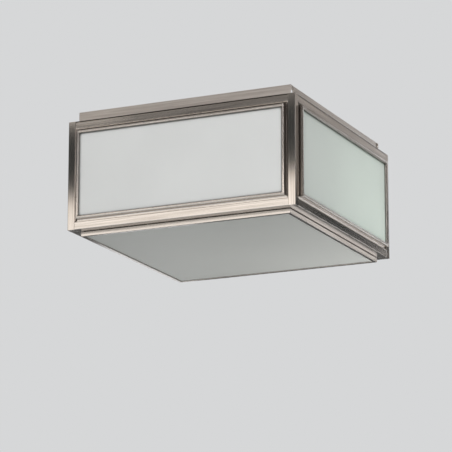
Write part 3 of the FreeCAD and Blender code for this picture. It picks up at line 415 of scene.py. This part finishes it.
# %% Give every node its finish
finishes = {
    "etched_glass": etched_glass(),
    "white_enamel": white_enamel(),
    "zinc_steel": cloudy_metal("zinc_plated_steel", "#A5A9AE", "#C6C8C6", 0.28, 0.42, 6 * MM),
    "spring_brass": cloudy_metal("bare_spring_brass", "#B08A45", "#D6B468", 0.2, 0.35, 5 * MM),
    "cap_metal": cloudy_metal("drawn_aluminium", "#C4C5C6", "#DEDFE0", 0.22, 0.34, 4 * MM),
    "porcelain": plain_body("glazed_porcelain", "#E6E2D8", "#F2EFE8", 4 * MM, 0.02 * MM, 0.3, 0.8),
    "block_plastic": plain_body("moulded_polyamide", "#D8D4C8", "#E2DED2", 0.8 * MM, 0.03 * MM, 0.5, 0.0),
    "black_rubber": plain_body("moulded_rubber", "#161616", "#222221", 1.2 * MM, 0.04 * MM, 0.7, 0.0),
    "bulb_glass": plain_body("coated_lamp_glass", "#F0EFEA", "#F8F7F3", 8 * MM, 0.01 * MM, 0.35, 0.5),
    "white_sleeve": plain_body("silicone_sleeve", "#DEDCD3", "#ECEAE2", 0.7 * MM, 0.05 * MM, 0.55, 0.0),
    "green_sleeve": plain_body("green_insulation", "#25602F", "#2F7239", 0.9 * MM, 0.02 * MM, 0.4, 0.1),
    "magnet_black": plain_body("black_ferrite", "#1C1C1E", "#2B2B2D", 0.7 * MM, 0.03 * MM, 0.6, 0.0),
}
slot_of = {entry["node"]: entry["material_slot"] for entry in frame["record"]["subparts"]}
for name, thing in nodes.items():
    finish = nickel_of(name) if slot_of[name] == "satin_nickel" else finishes[slot_of[name]]
    thing.data.materials.clear()
    thing.data.materials.append(finish)
print(len(nickel) + len(finishes), "materials on", len(nodes), "nodes")

# %% [markdown]
# ## Small fasteners
#
# The CAD model has the screws and nuts as plain turned shapes, in the right places. Here they get
# what the hand looks for: a recess for the driver and a knurl for the fingers. Each kind is modelled
# once with its seat at height zero, and then copied to the places that the CAD boxes give. Four
# helpers do the common steps: one starts a cylinder, one picks parts of the mesh by their place,
# one cuts a bar's shape out of a piece, and one sets the copies. Where a part is picked by its
# height, the height is met within a hair of 0.01 mm.

# %% Helpers for turned pieces
HAIR = 0.01 * MM


def start_cylinder(name, sides, radius, low, high):
    """Adds a cylinder on the Z axis, from one height to another."""
    bpy.ops.object.select_all(action="DESELECT")
    middle = (0, 0, (low + high) / 2)
    bpy.ops.mesh.primitive_cylinder_add(vertices=sides, radius=radius, depth=high - low, location=middle)
    bpy.ops.object.transform_apply(location=True, rotation=True, scale=True)
    piece = bpy.context.object
    piece.name = name
    return piece


def pick(piece, kind, test):
    """Goes to edit mode with those vertices, edges or polygons selected whose middle passes."""
    kinds = ("vertices", "edges", "polygons")
    bpy.ops.object.mode_set(mode="EDIT")
    bpy.context.tool_settings.mesh_select_mode = [kind == each for each in kinds]
    bpy.ops.mesh.select_all(action="DESELECT")
    bpy.ops.object.mode_set(mode="OBJECT")
    points = piece.data.vertices
    for part in getattr(piece.data, kind):
        if kind == "vertices":
            middle = part.co
        else:
            middle = sum((points[i].co for i in part.vertices), Vector()) / len(part.vertices)
        part.select = test(middle)
    bpy.ops.object.mode_set(mode="EDIT")


def cut_bar(piece, length, width, low, high):
    """Cuts a bar's shape out of the piece, as a punch or a saw does."""
    bpy.ops.object.mode_set(mode="OBJECT")
    bpy.ops.object.select_all(action="DESELECT")
    middle = (0, 0, (low + high) / 2)
    bpy.ops.mesh.primitive_cube_add(size=1, location=middle, scale=(length, width, high - low))
    bar = bpy.context.object
    bpy.context.view_layer.objects.active = piece
    cut = piece.modifiers.new("recess", "BOOLEAN")
    cut.object = bar
    bpy.ops.object.modifier_apply(modifier=cut.name)
    bpy.data.objects.remove(bar)


# %% Setting the copies
SMOOTH_ANGLE = math.radians(35)


def set_copies(model, node, slot, places):
    """Copies a finished model to its places on the case, where it stands for a CAD node."""
    bpy.ops.object.mode_set(mode="OBJECT")
    bpy.ops.object.select_all(action="DESELECT")
    model.select_set(True)
    bpy.ops.object.shade_smooth_by_angle(angle=SMOOTH_ANGLE)
    model.data.materials.append(finishes[slot] if slot in finishes else nickel["z"])
    for number, place in enumerate(places, 1):
        piece = bpy.data.objects.new(f"{model.name}_{number}", model.data.copy())
        piece.data.transform(Matrix.Translation(place))
        bpy.context.scene.collection.objects.link(piece)
        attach(piece, "case")
        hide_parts(node)
    print(model.name, len(places), "copies of", len(model.data.polygons), "faces")
    bpy.data.objects.remove(model)


# %% [markdown]
# Twelve pan-head screws hold the top plate and the lamp brackets. Such a screw is headed cold from
# wire: the blow spreads the head and rounds its rim, and the punch leaves a cross. So the model
# starts as the head, its lower rim is bevelled, its upper face is inset and extruded into the
# shank, and two bars cut the cross.

# %% Pan-head screws
HEAD_RADIUS = 2.8 * MM
HEAD_HEIGHT = 1.9 * MM
HEAD_ROUND = 0.8 * MM
SHANK_RADIUS = 1.5 * MM
SHANK_LENGTH = 6 * MM
CROSS_LENGTH = 3.2 * MM
CROSS_WIDTH = 0.7 * MM
CROSS_FLOOR = -0.8 * MM
OVERCUT = 0.2 * MM


def pan_head_screw(name):
    """Screw that points up, with its head below height zero."""
    screw = start_cylinder(name, 32, HEAD_RADIUS, -HEAD_HEIGHT, 0)
    pick(screw, "edges", lambda middle: middle.z < -HEAD_HEIGHT + HAIR)
    bpy.ops.mesh.bevel(offset=HEAD_ROUND, segments=4, affect="EDGES")
    pick(screw, "polygons", lambda middle: middle.z > -HAIR)
    bpy.ops.mesh.inset(thickness=HEAD_RADIUS - SHANK_RADIUS)
    bpy.ops.mesh.extrude_region_move(TRANSFORM_OT_translate={"value": (0, 0, SHANK_LENGTH)})
    for length, width in ((CROSS_LENGTH, CROSS_WIDTH), (CROSS_WIDTH, CROSS_LENGTH)):
        cut_bar(screw, length, width, -HEAD_HEIGHT - OVERCUT, CROSS_FLOOR)
    return screw


# %% [markdown]
# The plate screws stand two on each side of the case, the same way in from both corners. The
# bracket screws stand at the corners of the box that the CAD node fills.

# %% Places of the screws
CORNER_TO_SCREW = 57.4 * MM

low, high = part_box("top_plate_screws")
line = high.y - HEAD_RADIUS
along = case_half - CORNER_TO_SCREW
seat = low.z + HEAD_HEIGHT
places = [Vector((x, y, seat)) for x in (-along, along) for y in (-line, line)]
places += [Vector((y, x, seat)) for x in (-along, along) for y in (-line, line)]
set_copies(pan_head_screw("plate_screw"), "top_plate_screws", "zinc_steel", places)

low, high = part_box("bracket_screws")
out, aside = high.x - HEAD_RADIUS, high.y - HEAD_RADIUS
seat = low.z + HEAD_HEIGHT
places = [Vector((x, y, seat)) for x in (-out, out) for y in (-aside, aside)]
set_copies(pan_head_screw("bracket_screw"), "bracket_screws", "zinc_steel", places)

# %% [markdown]
# Two cap nuts draw the case up to the ceiling. They are turned from bar, with a rounded closed end,
# and a knurling wheel presses ridges round the barrel, so that fingers can turn them. The ridges
# come from a barrel with many sides, on which every second line of points goes inwards. The CAD
# nut keeps its radius, so the ridges end at it.

# %% Knurled cap nuts
RIDGES = 40
RIDGE_DEPTH = 0.35 * MM
KNURL_TOP = -1.2 * MM
KNURL_BOTTOM = -9.5 * MM
KNURL_REACH = 0.1 * MM
END_ROUND = 2.5 * MM
NUT_BORE = 2.6 * MM
BORE_DEPTH = 9.6 * MM

low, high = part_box("cap_nuts")
radius = high.x
height = high.z - low.z
nut = start_cylinder("cap_nut", RIDGES * 2, radius, -height, 0)
pick(nut, "polygons", lambda middle: True)
for level in (KNURL_TOP, KNURL_BOTTOM):
    bpy.ops.mesh.select_all(action="SELECT")
    bpy.ops.mesh.bisect(plane_co=(0, 0, level), plane_no=(0, 0, 1))
pick(nut, "edges", lambda middle: middle.z < -height + HAIR)
bpy.ops.mesh.bevel(offset=END_ROUND, segments=6, affect="EDGES")


def in_valley(point):
    """True for every second line of points, between the barrel's two plain rims."""
    turn = math.atan2(point.y, point.x) / math.tau * RIDGES
    in_band = KNURL_BOTTOM - KNURL_REACH < point.z < KNURL_TOP + KNURL_REACH
    return in_band and abs(turn - math.floor(turn) - 0.5) < 0.1


pick(nut, "vertices", in_valley)
shrink = 1 - RIDGE_DEPTH / radius
bpy.ops.transform.resize(value=(shrink, shrink, 1), center_override=(0, 0, 0))
pick(nut, "polygons", lambda middle: middle.z > -HAIR)
bpy.ops.mesh.inset(thickness=radius - NUT_BORE)
bpy.ops.mesh.extrude_region_move(TRANSFORM_OT_translate={"value": (0, 0, -BORE_DEPTH)})
aside = high.y - radius
set_copies(nut, "cap_nuts", "satin_nickel", [Vector((0, y, high.z)) for y in (-aside, aside)])

# %% [markdown]
# The terminal block clamps each wire with a short brass screw. It is turned from rod and slotted
# with a saw. Its rim is broken a little, so that the screwdriver finds the slot.

# %% Slotted terminal screws
RIM_BREAK = 0.3 * MM
SLOT_WIDTH = 0.7 * MM
SLOT_FLOOR = -0.9 * MM

low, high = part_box("terminal_screws")
radius = high.x
height = high.z - low.z
clamp = start_cylinder("terminal_screw", 32, radius, -height, 0)
pick(clamp, "edges", lambda middle: middle.z > -HAIR)
bpy.ops.mesh.bevel(offset=RIM_BREAK, segments=3, affect="EDGES")
cut_bar(clamp, 3 * radius, SLOT_WIDTH, SLOT_FLOOR, OVERCUT)
aside = high.y - radius
places = [Vector((0, y, high.z)) for y in (-aside, 0, aside)]
set_copies(clamp, "terminal_screws", "spring_brass", places)

# %% [markdown]
# ## Floor and background
#
# The light hangs high over a plain pale floor. The floor is far below it, so that a camera that
# looks up from under the light still stands above the floor. Light Path's Is Camera Ray makes the
# floor a little paler to the camera without throwing more light on the object.

# %% Floor
FLOOR_DEPTH = 6.0
FLOOR_SIZE = 60.0
FLOOR_GLOW = 0.3
FLOOR_CLOUD = 0.4
bpy.ops.object.select_all(action="DESELECT")
bpy.ops.mesh.primitive_plane_add(size=FLOOR_SIZE, location=(0, 0, -FLOOR_DEPTH))
floor = bpy.context.object
floor.name = "floor"
material, tree, shader, position = new_material("pale_floor")
specks = add(tree, "TexNoise", {}, {"Vector": position, "Scale": 1 / FLOOR_CLOUD, "Detail": 3})
tone = add(tree, "ValToRGB", {}, {"Fac": specks}, ((0.2, "#EDECE9"), (0.8, "#F2F1EF")))
camera_ray = add(tree, "LightPath", {}, {}).outputs["Is Camera Ray"]
glow = add(tree, "Math", {"operation": "MULTIPLY"}, {0: camera_ray, 1: FLOOR_GLOW})
connect(tree, shader, {
    "Base Color": tone, "Roughness": 0.8, "Emission Color": linear("#E6E7E8"), "Emission Strength": glow,
})
floor.data.materials.append(material)
print("floor", FLOOR_DEPTH, "m below the ceiling")

# %% [markdown]
# ## Light
#
# Soft light comes from a pale world and from four square lamps. The world lights at a plain level,
# and is shown somewhat paler to the camera, in mirrors and through glass.

# %% World
WORLD_LIGHT = 0.6
WORLD_SHOWN = 0.85
world = bpy.data.worlds.new("studio")
bpy.context.scene.world = world
world.use_nodes = True
tree = world.node_tree
ray = add(tree, "LightPath", {}, {}).outputs
seen = add(tree, "Math", {"operation": "ADD"}, {0: ray["Is Camera Ray"], 1: ray["Is Glossy Ray"]})
seen = add(tree, "Math", {"operation": "ADD"}, {0: seen, 1: ray["Is Transmission Ray"]})
sockets = {"Value": seen, 1: 0.0, 2: 1.0, 3: WORLD_LIGHT, 4: WORLD_SHOWN}
strength = add(tree, "MapRange", {}, sockets)
connect(tree, tree.nodes["Background"], {"Color": linear("#E6E7E8"), "Strength": strength})
print("world lights at", WORLD_LIGHT)

# %% [markdown]
# The key stands in front, to the right and above, and lights the front pane. A small lamp beside
# the right pane and one below the door lift these two, which the key hardly reaches, and a large
# one behind does the same for the back and the left. Each row gives a lamp's place, the point that
# it faces, its size, its watts and its colour. All but the key are hidden from mirrored rays and
# from the camera, because the metal gets its own surroundings in the next step.

# %% Lamps
centre = (0, 0, case_middle)
LAMPS = {
    "key": ((0.9, -2.4, 0.7), centre, 1.2, 51, "#FFFBFE"),
    "side": ((0.4, 0.13, -0.14), (case_half, 0.05, case_middle), 0.2, 0.27, "#E0FFE8"),
    "below": ((0.25, 0.35, -0.45), (0.1, 0.1, case_bottom), 0.3, 1.2, "#FFFCFA"),
    "behind": ((-1.6, 2.0, 0.6), centre, 1.2, 36, "#FFFAF6"),
}
for name, (place, aim, size, watts, colour) in LAMPS.items():
    light = bpy.data.lights.new(name, "AREA")
    light.shape = "SQUARE"
    light.size = size
    light.energy = watts
    light.color = linear(colour)[:3]
    lamp = bpy.data.objects.new(name, light)
    lamp.location = place
    lamp.rotation_euler = (Vector(aim) - Vector(place)).to_track_quat("-Z", "Y").to_euler()
    bpy.context.scene.collection.objects.link(lamp)
    if name != "key":
        lamp.visible_glossy = False
        lamp.visible_camera = False
    print("lamp", name, watts, "W")

# %% [markdown]
# ## A tent for the metal to mirror
#
# Polished and satin metal has hardly a colour of its own. It shows what is around it, so a bare
# studio leaves it flat. A photographer of metal hangs a tent round the object: white cloth low
# down and dark cloth above, with a soft border. The lower bars then mirror white and the upper
# ones dark. The border must be near, because only what is near looks different from the top of
# the light and from its bottom. This tent shows only in mirrored rays, so it neither hides the
# light nor shades it.
#
# The cloth's shade goes by height. It is grey below the light, white beside it, dark from about the
# height of the ceiling up, and paler again above that, where the collar's reflection falls.
#
# In the tent hang cards, as in a real studio: white ones where a bar should shine, and dark ones
# where it should go dark. Each card is a box, and colours the cloth that lies inside it. A later
# card lies over an earlier one. What a card does is hard to foresee, so each was left out once, and
# the note beside it says what changed.

# %% Shades of the tent
TENT_LOW = Vector((-0.9, -0.45, -0.7))
TENT_HIGH = Vector((0.9, 0.6, 0.7))
CLOTH_FROM = -0.4
CLOTH_TO = 0.2
CLOTH_SHADES = (
    (-0.172, "#FFFFFF"), (-0.0352, "#F8F1EA"),
    (-0.21, "#B4B4B4"), (-0.012, "#303233"), (0.07, "#2C2F2F"), (0.1, "#8C8885"),
)
TENT_GLOW = 1.45
CARDS = {
    "low back": ((-1.0, 0.0, -0.8), (1.0, 0.7, -0.2), "#4A4A4A"),  # darkens the lower edges
    "low back left": ((-0.5, 0.0, -0.38), (-0.33, 0.7, -0.27), "#F4F6FA"),  # lights the door's left end
    "low back right": ((0.28, 0.0, -0.45), (0.6, 0.7, -0.22), "#F4F6FA"),  # lights its right side
    "right": ((0.3, 0.0, -0.13), (1.0, 0.7, -0.005), "#343231"),  # darkens lines on that side
    "high front left": ((-0.33, -0.5, 0.09), (-0.24, 0.0, 0.2), "#F0EAE4"),  # lights the collar's left end
    "back": ((-0.25, 0.5, -0.03), (0.3, 0.7, 0.3), "#F4F6FA"),  # lights the right collar
    "front right": ((0.5, -0.5, -0.05), (1.0, 0.0, 0.3), "#2C2D2E"),  # darkens the near post's top
    "left": ((-1.0, -0.5, 0.03), (-0.42, 0.5, 0.35), "#2C2F2F"),  # darkens the left post's top
}
print(len(CARDS), "cards in the tent")

# %% [markdown]
# The tent itself is a plain box with a material that only glows. A card's mask is the product of
# three comparisons, one for each axis, and a Mix node lays the card's colour over the cloth.

# %% Tent
bpy.ops.object.select_all(action="DESELECT")
bpy.ops.mesh.primitive_cube_add(size=1, location=(TENT_LOW + TENT_HIGH) / 2, scale=TENT_HIGH - TENT_LOW)
bpy.ops.object.transform_apply(location=True, rotation=True, scale=True)
tent = bpy.context.object
tent.name = "reflection_tent"
tent.visible_camera = False
tent.visible_diffuse = False
tent.visible_transmission = False
tent.visible_shadow = False
cloth, tree, shader, position = new_material("tent_cloth")
tree.nodes.remove(shader)
place = add(tree, "SeparateXYZ", {}, {"Vector": position}).outputs
rise = add(tree, "MapRange", {}, {"Value": place["Z"], 1: CLOTH_FROM, 2: CLOTH_TO, 3: 0.0, 4: 1.0})
stops = [((height - CLOTH_FROM) / (CLOTH_TO - CLOTH_FROM), colour) for height, colour in CLOTH_SHADES]
shade = add(tree, "ValToRGB", {}, {"Fac": rise}, stops)
for low, high, colour in CARDS.values():
    card = 1.0
    for axis, start, stop in zip("XYZ", low, high):
        sockets = {0: place[axis], 1: (start + stop) / 2, 2: (stop - start) / 2}
        between = add(tree, "Math", {"operation": "COMPARE"}, sockets)
        card = add(tree, "Math", {"operation": "MULTIPLY"}, {0: card, 1: between})
    sockets = {"Factor": card, 6: shade, 7: linear(colour)}
    shade = add(tree, "Mix", {"data_type": "RGBA"}, sockets).outputs[2]
glow = add(tree, "Emission", {}, {"Color": shade, "Strength": TENT_GLOW})
tree.links.new(glow.outputs[0], tree.nodes["Material Output"].inputs["Surface"])
tent.data.materials.append(cloth)
print("tent", [round(x, 2) for x in TENT_HIGH - TENT_LOW], "m")

# %% [markdown]
# ## Camera
#
# The camera stands where the photograph was taken from: below the light, to its right, and far
# away with a long lens. Its direction, distance and lens were found by fitting the case's corners
# to the photograph.

# %% Camera
TURN = math.radians(24.75)
LIFT = math.radians(14.16)
DISTANCE = 3.308
LENS = 207.9
AIM = Vector((-0.0181, 0.0213, -0.1207))
forward = Vector((-math.sin(TURN) * math.cos(LIFT), math.cos(TURN) * math.cos(LIFT), math.sin(LIFT)))
camera_data = bpy.data.cameras.new("camera")
camera_data.sensor_width = 36.0
camera_data.lens = LENS
camera = bpy.data.objects.new("camera", camera_data)
camera.location = AIM - forward * DISTANCE
camera.rotation_euler = forward.to_track_quat("-Z", "Y").to_euler()
bpy.context.scene.collection.objects.link(camera)
bpy.context.scene.camera = camera
print("camera at", [round(x, 3) for x in camera.location])

# %% [markdown]
# ## Finish
#
# The view transform is set to show colours as written.

# %% Colour management
bpy.context.scene.view_settings.view_transform = "Standard"
